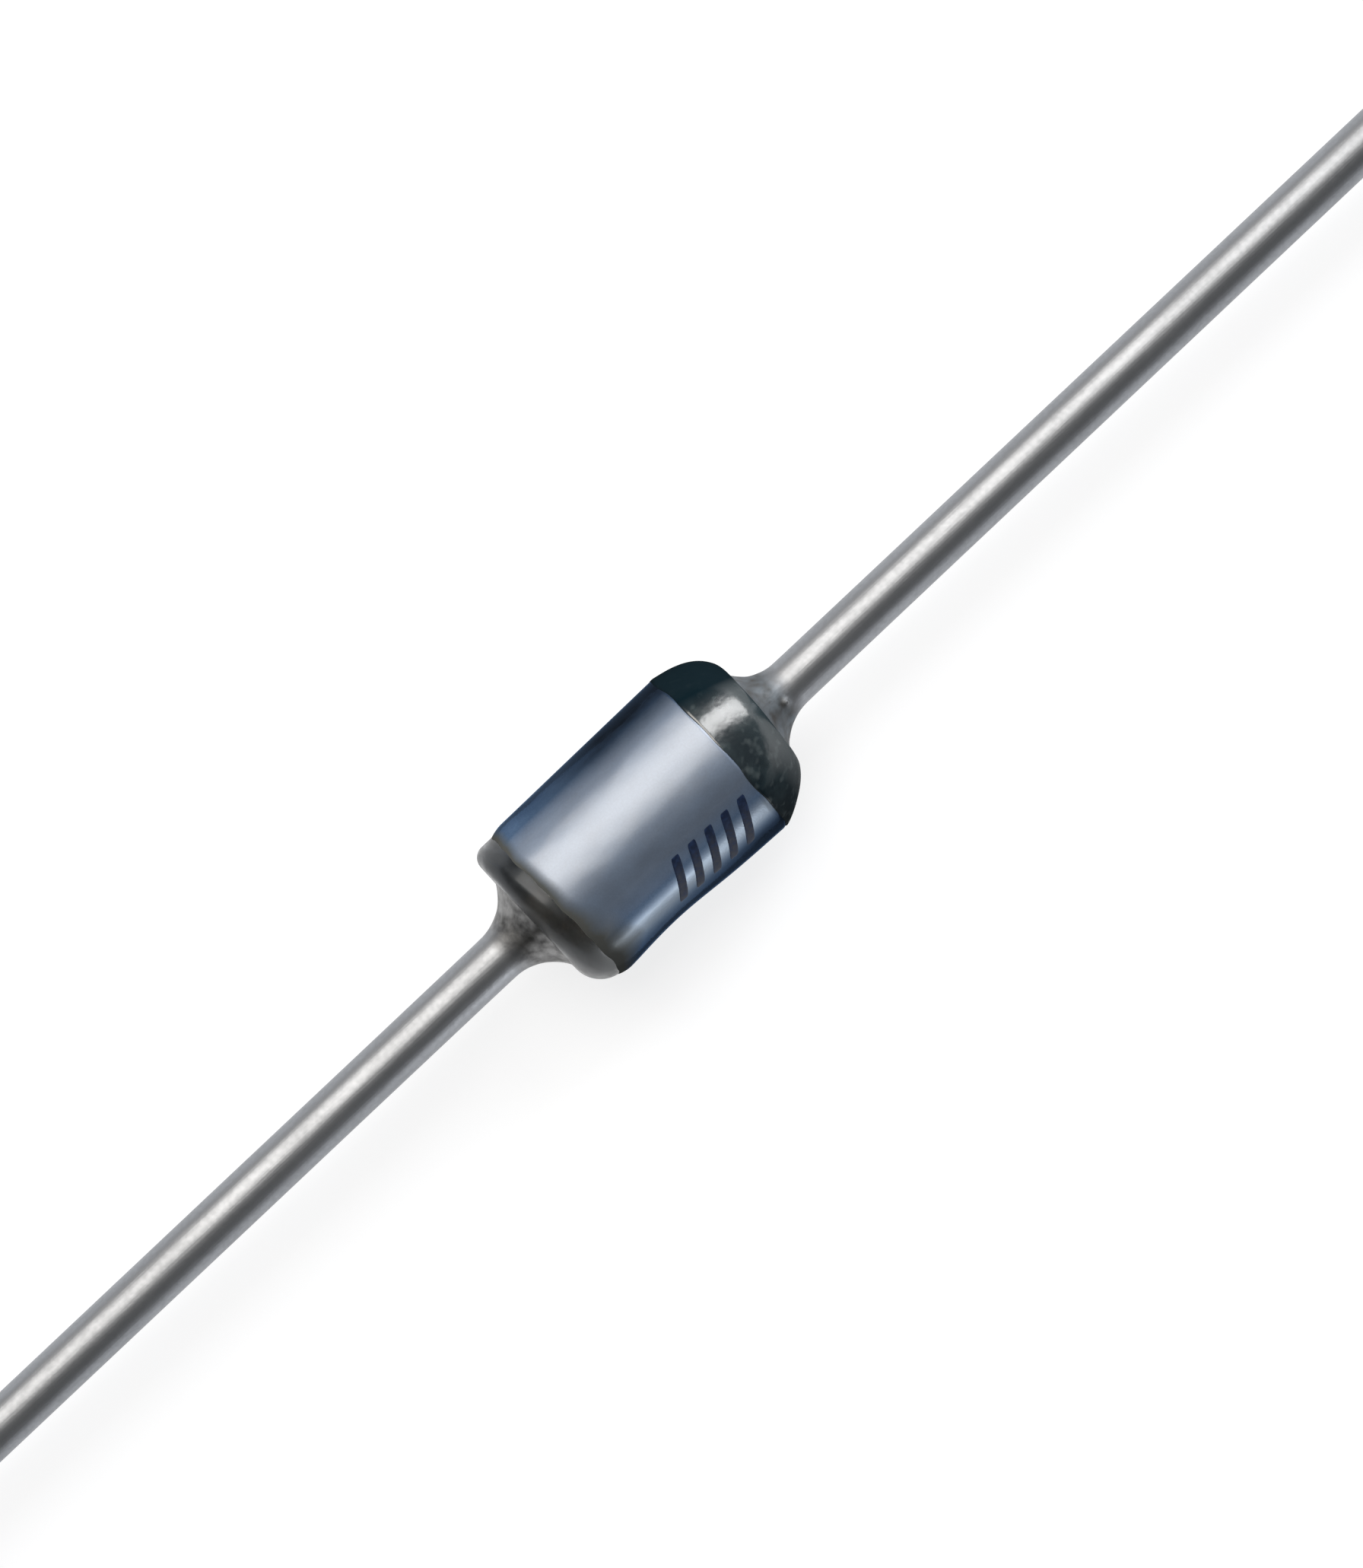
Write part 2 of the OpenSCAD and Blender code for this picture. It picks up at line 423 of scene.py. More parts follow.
def dome_height(share, angle):
    """Share of the dome's height left at a share of its length: an even slope and a blunt round end.

    The slope has a little more of it on the low side, with the angle's sine. The round end follows a
    circle's rule with a higher power in place of squares.
    """
    share = np.clip(share, 0.0, 1.0)
    slope = DOME_SLOPE + DOME_SLOPE_LOW * np.sin(angle)
    round_end = (1.0 - share**DOME_POWER) ** (1.0 / DOME_POWER)
    return 1.0 - slope * share - (1.0 - slope) * (1.0 - round_end)


def glass_radius(sizes, x, angle):
    """Radius of the glass: it grows evenly from the lacquer's edge to the dome, and falls as that does.

    On the low side one bell curve along X takes out a soft waist, and another adds a swell by the anode.
    """
    end, run, height = cathode_end(sizes, angle)
    grown = np.clip((x - LACQUER_START) / (end - run - LACQUER_START), 0.0, 1.0)
    full = CATHODE_R - sizes.cathode_dome + height
    waist = sizes.waist * bell(x - WAIST_X, WAIST_WIDTH)
    swell = sizes.anode_swell * bell(x - SWELL_X, SWELL_WIDTH)
    fall = height * (1.0 - dome_height((x - end + run) / run, angle))
    return sizes.anode_r + grown * (full - sizes.anode_r) - fall + (swell - waist) * low_side(angle)


def dome_place(sizes, radius, angle):
    """Place along X where the dome has a radius, found by halving a stretch of it 40 times."""
    end, run, height = cathode_end(sizes, angle)
    wanted = (radius - CATHODE_R + sizes.cathode_dome) / height
    low, high = np.zeros_like(wanted), np.ones_like(wanted)
    for _ in range(40):
        middle = 0.5 * (low + high)
        wider = dome_height(middle, angle) > wanted
        low, high = np.where(wider, middle, low), np.where(wider, high, middle)
    return end - run * (1.0 - low)


def outward(path):
    """Normals of a path towards +X: its direction from ring to ring, turned by a right angle."""
    step = np.gradient(path, axis=0)
    normals = np.stack((-step[..., 1], step[..., 0]), axis=-1)
    return normals / np.linalg.norm(normals, axis=-1, keepdims=True)


def rounded_edge(distance, width):
    """Share of a layer's full depth near its edge: a quarter of an ellipse of the given width."""
    closeness = np.clip(1.0 - distance / width, 0.0, 1.0)
    return np.sqrt(1.0 - closeness**2)


def layer_loop(path, normals, depth):
    """Closed section of a layer: out along its top, which stands off the path, and back inside."""
    return np.concatenate((path + normals * depth[..., None], (path - normals * BITE)[::-1]))


# Finishes


class Finish:
    """A material with one Principled shader, whose constants are set on its own sockets.

    The methods add the nodes of its patterns, which lie in the diode's own frame.
    """

    def __init__(self, name, **constants):
        self.material = bpy.data.materials.new(name)
        self.material.use_nodes = True
        self.tree = self.material.node_tree
        self.shader = next(n for n in self.tree.nodes if n.type == "BSDF_PRINCIPLED")
        for key, value in constants.items():
            self.shader.inputs[key.replace("_", " ")].default_value = value
        self.place = self.add("ShaderNodeTexCoord").outputs["Object"]

    def add(self, kind, inputs=None, **settings):
        """Adds a shader node. An input that is a socket is linked, and any other value is set on it."""
        made = self.tree.nodes.new(kind)
        for key, value in settings.items():
            setattr(made, key, value)
        for key, value in (inputs or {}).items():
            if isinstance(value, bpy.types.NodeSocket):
                self.tree.links.new(value, made.inputs[key])
            else:
                made.inputs[key].default_value = value
        return made

    def link(self, **patterns):
        """Links patterns to the shader's inputs of the same names."""
        for key, pattern in patterns.items():
            self.tree.links.new(pattern, self.shader.inputs[key.replace("_", " ")])

    def parts(self):
        """The X, Y and Z of the place."""
        return tuple(self.add("ShaderNodeSeparateXYZ", {"Vector": self.place}).outputs)

    def point_value(self, name):
        """The number that each vertex keeps under a name."""
        return self.add("ShaderNodeAttribute", attribute_name=name).outputs["Fac"]

    def speckle(self, size, detail=2.0, stretch=None, roughness=0.5):
        """Soft noise from 0 to 1 with grains of about a size, longer along an axis with less stretch."""
        place = self.place
        if stretch:
            place = self.add("ShaderNodeMapping", {"Vector": place, "Scale": stretch}).outputs["Vector"]
        inputs = {"Vector": place, "Scale": 1.0 / size, "Detail": detail, "Roughness": roughness}
        return self.add("ShaderNodeTexNoise", inputs).outputs[0]

    def ranged(self, value, span, to=(0.0, 1.0)):
        """The value carried from one span to another, held at its ends."""
        ends = {"From Min": span[0], "From Max": span[1], "To Min": to[0], "To Max": to[1]}
        return self.add("ShaderNodeMapRange", {"Value": value, **ends}).outputs["Result"]

    def mixed(self, share, first, second):
        """A colour between two, by a share from 0 to 1. Their sockets come after those of other kinds."""
        inputs = {0: share, 6: first, 7: second}
        return self.add("ShaderNodeMix", inputs, data_type="RGBA").outputs[2]

    def calculated(self, operation, first, second=0.0):
        """The result of one sum on two numbers."""
        return self.add("ShaderNodeMath", {0: first, 1: second}, operation=operation).outputs["Value"]

    # One sum each, by its plain name
    total = partialmethod(calculated, "ADD")
    difference = partialmethod(calculated, "SUBTRACT")
    product = partialmethod(calculated, "MULTIPLY")
    larger = partialmethod(calculated, "MAXIMUM")
    smaller = partialmethod(calculated, "MINIMUM")
    unsigned = partialmethod(calculated, "ABSOLUTE")

    def relief(self, height, distance, normals=("Normal",)):
        """Tilts the shader's normals by a height pattern whose full step is the given distance."""
        bump = self.add("ShaderNodeBump", {"Height": height, "Distance": distance})
        for name in normals:
            self.tree.links.new(bump.outputs["Normal"], self.shader.inputs[name])

    def fading_gloss(self, span, least, dull):
        """Clear gloss where a paint isn't dull, falling to its least over a span of turning edge-on."""
        edge_on = self.add("ShaderNodeLayerWeight", {"Blend": 0.5}).outputs["Facing"]
        gloss = self.ranged(edge_on, span, (1.0, least))
        self.link(Coat_Weight=self.product(gloss, self.difference(1.0, dull)))


def shaded(tint, factor):
    """The same colour, lighter or darker by a factor."""
    return (*(factor * part for part in tint[:3]), 1.0)


def lacquer_finish(colours):
    """Satin lacquer full of fine metal flakes, with cloudy depth and a soft waviness.

    It turns matt and grey where it thins out along its free edge, and has a streak of painted shade down
    each flank, on its upper half. Above the one towards -Y, a lighter, greyer and less rough streak is
    painted highlight.
    """
    look = Finish(
        "metallic_lacquer",
        Specular_IOR_Level=0.0,
        Specular_Tint=(0.05, 0.05, 0.05, 1.0),
        Coat_IOR=2.4,
        Coat_Roughness=0.42,
    )
    x, y, z = look.parts()
    flowing = (0.6, 1.0, 1.0)
    flakes = look.speckle(0.02 * MM, 3.0)
    clouds = look.speckle(0.22 * MM, 3.0, flowing)
    peel = look.speckle(0.30 * MM, 1.0, flowing)
    depth = look.total(clouds, look.product(flakes, 0.6))
    body = look.mixed(look.ranged(depth, (0.5, 1.1)), colours.lacquer_deep, colours.lacquer)
    # Painted highlight: a lighter, greyer streak towards -Y, which is also less rough
    bare = look.smaller(look.ranged(y, HIGHLIGHT_UPPER_Y), look.ranged(y, HIGHLIGHT_LOWER_Y))
    body = look.mixed(bare, body, colours.lacquer_painted_highlight)
    # Painted shade: dark streaks down the flanks towards +Y and towards -Y, fading out below the middle
    # height
    far_shade_streak = look.product(look.ranged(y, FAR_SHADE_Y), look.ranged(x, FAR_SHADE_X))
    near_shade_streak = look.product(look.ranged(y, NEAR_SHADE_Y), look.ranged(x, NEAR_SHADE_X, (0.3, 1.0)))
    patches = look.product(look.ranged(clouds, (0.35, 0.6), (0.8, 1.0)), look.ranged(z, SHADE_STREAK_Z))
    painted_shade = look.product(patches, look.larger(far_shade_streak, near_shade_streak))
    body = look.mixed(painted_shade, body, colours.lacquer_painted_shade)
    thin = look.total(look.point_value("thin"), look.product(clouds, 0.5))
    thin = look.ranged(thin, (0.35, 1.1))
    cloudy = look.ranged(clouds, (0.3, 0.7), (0.58, 0.64))
    look.link(
        Base_Color=look.mixed(thin, body, colours.lacquer_thin),
        Metallic=look.ranged(thin, (0.0, 1.0), (0.9, 0.1)),
        Roughness=look.difference(cloudy, look.product(bare, 0.28)),
    )
    dull = look.larger(look.larger(thin, look.ranged(y, MATT_Y)), painted_shade)
    look.fading_gloss((0.27, 0.45), 0.0, dull)
    look.relief(flakes, 0.0009 * MM)
    look.relief(peel, 0.010 * MM, ("Coat Normal",))
    return look.material


def band_finish(colours):
    """Glossy black paint with soft lumps, thin places and pale flecks.

    It is dull and painted darker as shade on the flank towards +Y, and less glossy on the other one.
    Painted light makes it lighter towards the bead.
    """
    look = Finish(
        "black_band_paint", Specular_IOR_Level=0.0, Roughness=0.5, Coat_IOR=1.95, Coat_Roughness=0.22
    )
    x, y, _ = look.parts()
    lumps = look.speckle(0.16 * MM)
    # Painted shade: the flank towards +Y keeps the darkest paint, without thin places or flecks
    far_flank_shade = look.ranged(look.total(y, look.product(x, FAR_FLANK_SHADE_LEAN)), FAR_FLANK_SHADE_Y, (0.0, 0.95))
    near_flank = look.ranged(y, NEAR_FLANK_Y, (0.0, 0.9))
    near_flank = look.product(near_flank, look.ranged(x, NEAR_FLANK_X, (1.0, 0.3)))
    unshaded = look.difference(1.0, far_flank_shade)
    # Painted light: the paint turns lighter towards the bead
    painted_light_end = look.ranged(x, PAINTED_LIGHT_X, (0.0, 0.8))
    thin = look.larger(look.ranged(lumps, (0.4, 0.75), (0.0, 0.6)), painted_light_end)
    paint = look.mixed(look.product(thin, unshaded), colours.band, colours.band_thin_and_painted_light)
    flecks = look.ranged(look.speckle(0.10 * MM, 1.0), (0.56, 0.80), (0.0, 0.35))
    look.link(Base_Color=look.mixed(look.product(flecks, unshaded), paint, colours.band_fleck))
    look.fading_gloss((0.13, 0.75), 0.25, look.larger(far_flank_shade, near_flank))
    height = look.total(lumps, look.product(look.speckle(0.025 * MM), 0.05))
    look.relief(height, 0.005 * MM, ("Normal", "Coat Normal"))
    return look.material


def glass_finish(colours):
    """Grey sealing glass, hazy under a smooth skin, with faint flow streaks, and painted shade that
    darkens its tint towards +Y.
    """
    look = Finish(
        "grey_glass",
        Transmission_Weight=1.0,
        IOR=1.52,
        Specular_Tint=(0.62, 0.70, 0.80, 1.0),
        Coat_Weight=0.28,
        Coat_Roughness=0.15,
    )
    streaks = look.speckle(0.30 * MM, stretch=(3.0, 1.0, 1.0))
    # Painted shade: the glass's tint darkens towards +Y
    shade_tint = look.ranged(look.parts()[1], GLASS_SHADE_Y)
    shade_tint = look.total(shade_tint, look.ranged(streaks, (0.3, 0.7), (0.1, -0.1)))
    look.link(
        Base_Color=look.mixed(shade_tint, colours.glass, colours.glass_painted_shade),
        Roughness=look.ranged(streaks, (0.35, 0.65), (0.30, 0.55)),
    )
    return look.material


def tin_look(look, colours):
    """Colour, roughness and relief of satin tin, with fine drawing lines and dull patches."""
    lines = look.speckle(0.02 * MM, 3.0, (0.03, 1.0, 1.0))
    grains = look.speckle(0.05 * MM, 3.0)
    patches = look.speckle(0.25 * MM, 4.0, (0.3, 1.0, 1.0), 0.6)
    dullness = look.ranged(look.total(patches, grains), (0.8, 1.25))
    tin = look.mixed(dullness, colours.tin, colours.tin_dull)
    return tin, look.ranged(dullness, (0.0, 1.0), (0.42, 0.48)), look.total(lines, grains)


def wire_finish(colours, tips):
    """Satin tin, with the copper-clad steel bare at the cut tips."""
    look = Finish("tinned_wire", Metallic=1.0)
    x, y, z = look.parts()
    tin, roughness, height = tin_look(look, colours)
    across = look.add("ShaderNodeCombineXYZ", {"Y": y, "Z": z}).outputs["Vector"]
    radius = look.add("ShaderNodeVectorMath", {0: across}, operation="LENGTH").outputs["Value"]
    clad = look.ranged(radius, [share * LEAD_R for share in CLAD_SHARE])
    cut = look.mixed(clad, colours.steel, colours.copper)
    bare = look.ranged(look.unsigned(x), [tips - behind for behind in CUT_BEHIND])
    look.link(Base_Color=look.mixed(bare, tin, cut), Roughness=roughness)
    look.relief(height, 0.0012 * MM)
    return look.material


def weld_finish(colours, name, weld_tin, bead_shade, haze):
    """Dull tin over a lumpy weld, with painted shade in its hollows, which turns into the wire's tin
    along the bead.

    A share of painted shade lies in a streak along its upper side, a little towards -Y, and the haze
    makes its grains rougher.
    """
    look = Finish(name, Metallic=1.0)
    _, y, z = look.parts()
    lumps = look.speckle(0.12 * MM, 3.0)
    # Painted shade: darker tin in the hollows between the lumps, which the relief uses too
    weld = look.mixed(look.ranged(lumps, (0.3, 0.65)), colours.weld_hollow_shade, weld_tin)
    # Painted shade: a dark streak along the bead's upper side, a little towards -Y
    from_middle = look.unsigned(look.difference(y, BEAD_SHADE_MIDDLE_Y))
    bead_shade_streak = look.product(look.ranged(from_middle, BEAD_SHADE_FADE, (bead_shade, 0.0)), look.ranged(z, BEAD_SHADE_Z))
    weld = look.mixed(bead_shade_streak, weld, colours.bead_shade)
    tin, roughness, height = tin_look(look, colours)
    near_wire = look.ranged(look.point_value("height"), (0.5, 0.95))
    rougher = look.ranged(near_wire, (0.0, 1.0), (haze, 0.0))
    rougher = look.product(rougher, look.speckle(0.03 * MM, 3.0))
    look.link(Base_Color=look.mixed(near_wire, weld, tin), Roughness=look.total(roughness, rougher))
    lumpy = look.product(lumps, look.ranged(near_wire, (0.0, 1.0), (6.0, 0.0)))
    look.relief(look.total(lumpy, height), 0.0012 * MM)
    return look.material


def mottled_finish(name, first, second, mottle, span, roughness, step, **constants):
    """Two colours, a roughness and a relief by one soft noise, given by its size and its detail."""
    look = Finish(name, **constants)
    noise = look.speckle(*mottle)
    look.link(
        Base_Color=look.mixed(look.ranged(noise, span), first, second),
        Roughness=look.ranged(noise, (0.3, 0.7), roughness),
    )
    if step:
        look.relief(noise, step)
    return look.material


def slug_finish(colours):
    """Copper-clad slug, mottled by the dark oxide that the glass sticks to."""
    tints = (colours.slug_oxide, colours.slug)
    mottle = (0.08 * MM, 4.0)
    return mottled_finish(
        "oxidised_copper", *tints, mottle, (0.5, 0.8), (0.6, 0.4), 0.003 * MM, Metallic=0.5
    )


def silver_finish(colours):
    """Plated silver with a fine matt grain."""
    tints = (shaded(colours.silver, 0.7), colours.silver)
    mottle = (0.01 * MM, 3.0)
    return mottled_finish(
        "plated_silver", *tints, mottle, (0.0, 1.0), (0.3, 0.5), 0.0008 * MM, Metallic=1.0
    )


def ink_finish(colours):
    """Dark blue printing ink, a little uneven where it lies thin on the lacquer."""
    tints = (colours.ink, shaded(colours.ink, 2.2))
    mottle = (0.05 * MM, 3.0)
    return mottled_finish(
        "printing_ink", *tints, mottle, (0.45, 0.75), (0.40, 0.55), None, Specular_IOR_Level=0.2
    )


def silicon_finish(colours):
    """Dark silicon with sawn sides, and plated silver on the face that meets the cathode's slug."""
    look = Finish("silicon_chip", Metallic=0.6)
    saw_lines = look.speckle(0.006 * MM, stretch=(1.0, 0.05, 0.05))
    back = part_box("zener_die")[1].x
    plated = look.ranged(look.parts()[0], [back - behind for behind in PLATED_BEHIND])
    side = look.mixed(saw_lines, colours.silicon, colours.silicon_sawn)
    look.link(
        Base_Color=look.mixed(plated, side, colours.silver),
        Roughness=look.ranged(saw_lines, (0.3, 0.7), (0.15, 0.40)),
    )
    look.relief(saw_lines, 0.0006 * MM)
    return look.material


def floor_finish(colours, glow):
    """Pale matt floor with a barely seen grain.

    It shows some white of itself to the camera, and to what mirrors its light or lets it through.
    """
    look = Finish(
        "studio_floor", Roughness=0.9, Specular_IOR_Level=0.0, Emission_Color=(1.0, 1.0, 1.0, 1.0)
    )
    grain = look.speckle(4.0 * MM)
    ray = look.add("ShaderNodeLightPath").outputs
    through = look.larger(ray["Is Glossy Ray"], ray["Is Transmission Ray"])
    look.link(
        Base_Color=look.mixed(grain, shaded(colours.floor, 0.985), colours.floor),
        Emission_Strength=look.product(look.larger(ray["Is Camera Ray"], through), glow),
    )
    look.material.cycles.emission_sampling = "NONE"
    return look.material


# Operators


class DIODE_OT_leads(bpy.types.Operator):
    """Makes both tinned lead wires"""

    bl_idname = "diode.leads"
    bl_label = "Tinned Leads"

    def execute(self, context):
        """A round rod with a quarter circle round its cut tip.

        Past the bead its radius wanders by the mean of three sines, of which one also goes round it.
        """
        sizes = context.scene.diode_sizes
        angle = turn_angles(64)
        finish = wire_finish(context.scene.diode_colours, tips=reach("cathode_lead")[1])
        rounding = sizes.tip_round
        for node, side in (("anode_lead", -1.0), ("cathode_lead", 1.0)):
            start, end = sorted(side * x for x in reach(node)[:2])
            inner = start - LEAD_SUNK
            profile = joined(
                line((inner, LEAD_POLE_RING * LEAD_R), (inner, LEAD_R), 5),
                line((inner, LEAD_R), (end - rounding, LEAD_R), 180),
                arc(end - rounding, LEAD_R - rounding, rounding, RIGHT_ANGLE, 0.0, 10),
                line((end, LEAD_R - rounding), (end, LEAD_POLE_RING * LEAD_R), 6),
            )
            x, radius = profile[:, :1], profile[:, 1:]
            steady = np.clip((x - start) / WANDER_START, 0.0, 1.0)
            slow, quick, twisting = (x / wave for wave in WANDER_WAVES)
            swing = np.sin(slow) + np.sin(quick + 1.0) + np.sin(2.0 * angle + twisting)
            radius = radius - sizes.wire_wander * steady * (1.0 + swing / 3.0) * radius / LEAD_R
            section = section_of(x, radius, angle)
            points = rings(section if side > 0.0 else mirrored(section), angle)
            add_piece("tinned_" + node, *solid_mesh(points), finish, "tinned_wire", (node,))
        return {"FINISHED"}


class DIODE_OT_weld_beads(bpy.types.Operator):
    """Makes the flared weld beads between the glass and the leads"""

    bl_idname = "diode.weld_beads"
    bl_label = "Weld Beads"

    def execute(self, context):
        """A flared foot: part of a circle from the foot's rim to the wire, which it touches at its tip.

        The circle's radius is the sum of the squares of the bead's run and rise, over twice the rise.
        A thin sheath goes on along the wire, and the underside follows the dome. The lumps are waves
        round the bead that twist along it, and they fade out at the rim and at the wire.
        """
        sizes = context.scene.diode_sizes
        colours = context.scene.diode_colours
        angle = turn_angles(192)
        anode_shaded = weld_finish(colours, "anode_weld", colours.weld, bead_shade=0.7, haze=0.08)
        # Painted shade: the cathode's bead uses a darker, bluer tin than the anode's
        hazy = weld_finish(colours, "cathode_weld", colours.weld_shaded, bead_shade=0.0, haze=0.35)
        for node, side, finish in (("anode_weld_bead", -1.0, anode_shaded), ("cathode_weld_bead", 1.0, hazy)):
            low, high, foot_r = reach(node)
            tip = max(side * low, side * high)
            rise, run = foot_r - LEAD_R, tip - GLASS_END
            flank = (run * run + rise * rise) / (2.0 * rise)
            foot = np.linspace(POLE_RING * LEAD_R, foot_r, 24)[:, None]
            seat = GLASS_END + 0.0 * angle
            if side > 0.0:
                seat = dome_place(sizes, np.maximum(foot, SLUG_R), angle)
            sheath, thin = tip + sizes.bead_sheath, LEAD_R - BITE
            outside = joined(
                arc(tip, LEAD_R + flank, flank, math.atan2(rise - flank, -run), -RIGHT_ANGLE, 64),
                line((tip, LEAD_R), (sheath, thin), 12),
                line((sheath, thin), (sheath, POLE_RING * LEAD_R), 5),
            )
            underside = section_of(seat - 5.0 * BITE, foot, angle)
            section = np.concatenate((underside, section_of(outside[:, :1], outside[:, 1:], angle)))
            x, radius = section[..., 0], section[..., 1]
            height = np.clip((x - GLASS_END) / run, 0.0, 1.0)
            x = x - (GLASS_END - seat[-1:]) * (1.0 - height) * (x > seat[-1:])
            standing = np.clip((radius - LEAD_R) / rise, 0.0, 1.0)
            swell = waves(angle + 2.0 * height, (3, 5, 8), (0.4, 2.1, 4.4))
            lumps = sizes.bead_lumps * swell * standing * np.clip(4.0 * height, 0.0, 1.0)
            section = section_of(x, radius + lumps + 0.3 * BITE * (x > GLASS_END), angle)
            if side > 0.0:
                drop_r = LEAD_R + flank - math.sqrt(flank**2 - (run - DROP_RISE) ** 2)
                drop = self.drop_share(sizes, x - GLASS_END - DROP_RISE, radius, drop_r, angle)
                lift = DROP_HEIGHT * sizes.tin_drop * drop
                section = section + outward(section) * lift[..., None]
                height = np.maximum(height, drop)
            else:
                section, height = mirrored(section), height[::-1]
            points = rings(section, angle)
            piece = add_piece("tinned_" + node, *solid_mesh(points), finish, "weld", (node,))
            set_point_values(piece, "height", np.concatenate((height.ravel(), height[[0, -1], 0])))
        return {"FINISHED"}

    def drop_share(self, sizes, along, radius, drop_r, angle):
        """Share of the tin drop's height: a bell curve of the distance from its middle."""
        aside = radius * turned_past(angle, DROP_TURN)
        return bell(np.sqrt(aside**2 + along**2 + (radius - drop_r) ** 2), sizes.tin_drop)


class DIODE_OT_glass(bpy.types.Operator):
    """Makes the glass sleeve with its bore"""

    bl_idname = "diode.glass"
    bl_label = "Glass Sleeve"

    def execute(self, context):
        """A closed loop: the flat end face, a quarter circle, the outside up to the slug, and the bore.

        The quarter circle grows with the angle's sine, towards the low side.
        """
        sizes = context.scene.diode_sizes
        angle = turn_angles(160)
        edge = sizes.anode_edge * (EDGE_EVEN + EDGE_LOW * np.sin(angle))
        edge_end = GLASS_START + edge
        shoulder = glass_radius(sizes, edge_end, angle)
        slope = np.linspace(math.pi, RIGHT_ANGLE, 24)[:, None]
        flat = np.linspace(0.0, 1.0, 8)[:-1, None]
        end_face = section_of(GLASS_START, SLUG_R + flat * (shoulder - edge - SLUG_R), angle)
        rounded_r = shoulder - edge * (1.0 - np.sin(slope))
        anode_edge = section_of(edge_end + edge * np.cos(slope), rounded_r, angle)
        stop = dome_place(sizes, SLUG_R, angle)
        x = edge_end + crowded_shares(96)[1:] * (stop - edge_end)
        outside = section_of(x, glass_radius(sizes, x, angle), angle)
        back = np.linspace(0.0, 1.0, 24)[1:-1, None]
        bore = section_of(stop + back * (GLASS_START - stop), SLUG_R, angle)
        points = rings(np.concatenate((end_face, anode_edge, outside, bore)), angle)
        finish = glass_finish(context.scene.diode_colours)
        add_piece("clear_glass_sleeve", *loop_mesh(points), finish, "glass", ("glass_sleeve",))
        return {"FINISHED"}


class DIODE_OT_lacquer(bpy.types.Operator):
    """Makes the metallic lacquer on the glass, with its ragged free edge"""

    bl_idname = "diode.lacquer"
    bl_label = "Body Lacquer"

    def execute(self, context):
        """A layer on the glass, from a free edge to just under the band.

        The free edge is a ring with waves round it and a droop that is a bell curve of the angle.
        The depth rises from it as a parabola does, and the rings crowd towards it as 1 minus a cosine.
        """
        sizes = context.scene.diode_sizes
        angle = turn_angles(192)
        drooping = bell(turned_past(angle, DROOP_TURN), DROOP_SPREAD)
        start = LACQUER_START + sizes.lacquer_droop * drooping
        start = start + sizes.edge_wander * waves(angle, (2, 5, 9, 17), (0.3, 1.9, 4.0, 2.2))
        end = BAND_START + LACQUER_LAP
        crowding = 1.0 - np.cos(np.linspace(0.0, RIGHT_ANGLE, 24))[:, None]
        near_edge = start + sizes.lacquer_feather * crowding
        onward = np.linspace(0.0, 1.0, 60)[1:, None]
        x = np.concatenate((near_edge, near_edge[-1:] + onward * (end - near_edge[-1:])))
        path = section_of(x, glass_radius(sizes, x, angle), angle)
        share = 1.0 - np.clip(1.0 - (x - start) / sizes.lacquer_feather, 0.0, 1.0) ** 2
        section = layer_loop(path, np.array((0.0, 1.0)), sizes.lacquer_depth * share)
        mesh = loop_mesh(rings(section, angle))
        finish = lacquer_finish(context.scene.diode_colours)
        piece = add_piece("metallic_body_lacquer", *mesh, finish, "lacquer", ("body_lacquer",))
        thin_width = sizes.lacquer_feather * (THIN_EVEN + THIN_DROOP * drooping)
        thin = np.clip(1.0 - (x - start) / thin_width, 0.0, 1.0)
        set_point_values(piece, "thin", np.concatenate((thin, thin[::-1])))
        return {"FINISHED"}


class DIODE_OT_band(bpy.types.Operator):
    """Makes the black cathode band over the domed end"""

    bl_idname = "diode.band"
    bl_label = "Cathode Band"

    def execute(self, context):
        """A layer that stands off the glass along its normals, with a quarter ellipse at both edges.

        A bell curve along its path adds a sag on the low side, and waves that twist along X its lumps.
        """
        sizes = context.scene.diode_sizes
        angle = turn_angles(192)
        stop = dome_place(sizes, reach("cathode_weld_bead")[2] + sizes.bare_seal, angle)
        start = BAND_START + sizes.edge_wander * waves(angle, (1, 3, 7, 12), (0.8, 2.9, 0.2, 4.7))
        x = start + crowded_shares(96) * (stop - start)
        path = section_of(x, glass_radius(sizes, x, angle), angle)
        steps = np.linalg.norm(np.diff(path, axis=0), axis=-1)
        gone = np.concatenate((np.zeros_like(angle), np.cumsum(steps, axis=0)))
        share = rounded_edge(gone, BAND_EDGE) * rounded_edge(gone[-1:] - gone, SEAL_EDGE)
        sag = sizes.band_sag * low_side(angle) * bell(gone - SAG_PLACE, SAG_WIDTH)
        swell = waves(angle + LUMP_TWIST * path[..., 0], (2, 4, 7), (1.1, 3.0, 5.2))
        lumps = sizes.band_lumps * (swell - 1.0)
        section = layer_loop(path, outward(path), share * (sizes.band_depth + sag + lumps))
        mesh = loop_mesh(rings(section, angle))
        finish = band_finish(context.scene.diode_colours)
        add_piece("black_cathode_band", *mesh, finish, "band_paint", ("cathode_band",))
        return {"FINISHED"}


